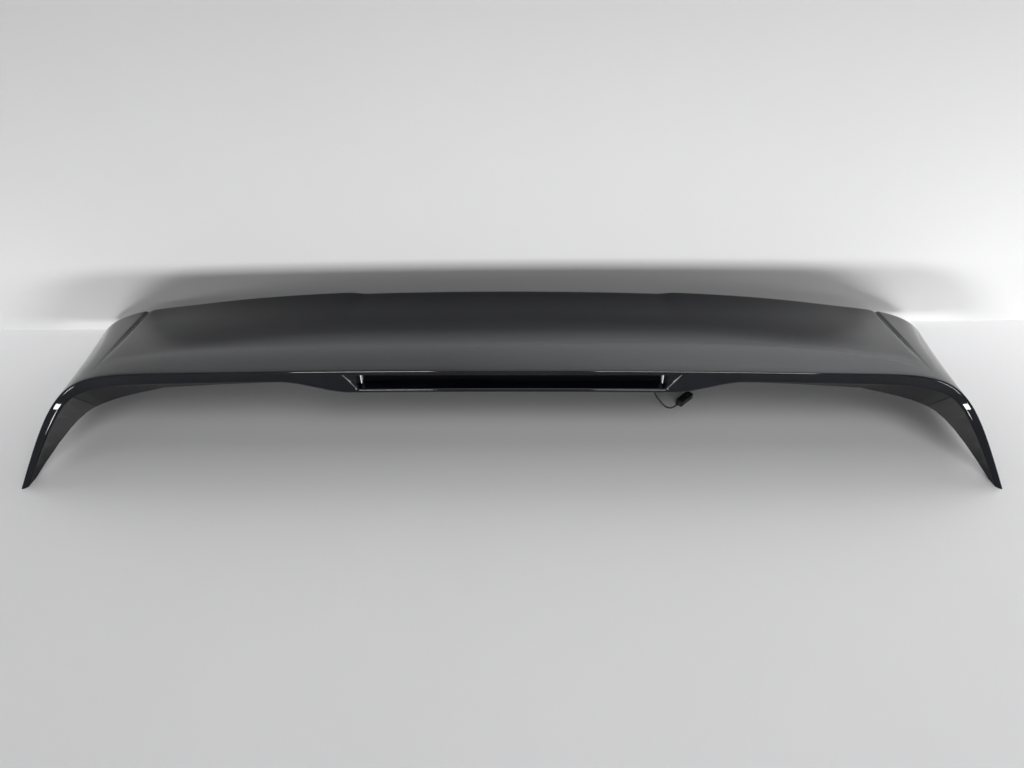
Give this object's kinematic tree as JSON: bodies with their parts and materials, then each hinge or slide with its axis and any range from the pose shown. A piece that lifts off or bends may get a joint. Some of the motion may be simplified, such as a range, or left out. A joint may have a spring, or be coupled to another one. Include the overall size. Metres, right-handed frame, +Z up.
{
  "type": "rear spoiler",
  "caption": "Gloss black roof spoiler for the rear of a car, with down-turned side fins, a recessed brake lamp in its trailing edge, fixing studs and a plugged lamp lead.",
  "frame": {"origin": "middle of the width and depth, on the plane that the fin tips and studs stand on", "axes": "+X across the span, to the right seen from behind; +Y from the trailing edge to the front edge; +Z up"},
  "size_m": [1.3108, 0.3521, 0.1227],
  "materials": {
    "gloss_black": "gloss paint",
    "shell_black": "satin",
    "steel": "zinc plated",
    "foam": "matte",
    "clip_plastic": "matte",
    "rubber": "matte",
    "lens": "smoked",
    "lamp_plastic": "matte",
    "board": "satin",
    "led": "gloss",
    "lead": "satin",
    "plug_plastic": "satin",
    "contact": "plain"
  },
  "bodies": {
    "root": {"outer_skin": "gloss_black", "lower_shell": "shell_black", "fin_liners": "shell_black", "mounting_studs": "steel", "stud_seals": "foam", "front_seal": "foam", "fin_clips": "clip_plastic", "lamp_gasket": "rubber", "lamp_lens": "lens", "lamp_housing": "lamp_plastic", "lamp_board": "board", "lamp_leds": "led", "lamp_screws": "steel", "inner_lead": "lead", "cable_grommet": "rubber", "lamp_cable": "lead", "connector_housing": "plug_plastic", "connector_seal": "rubber", "connector_pins": "contact"}
  },
  "joints": []
}
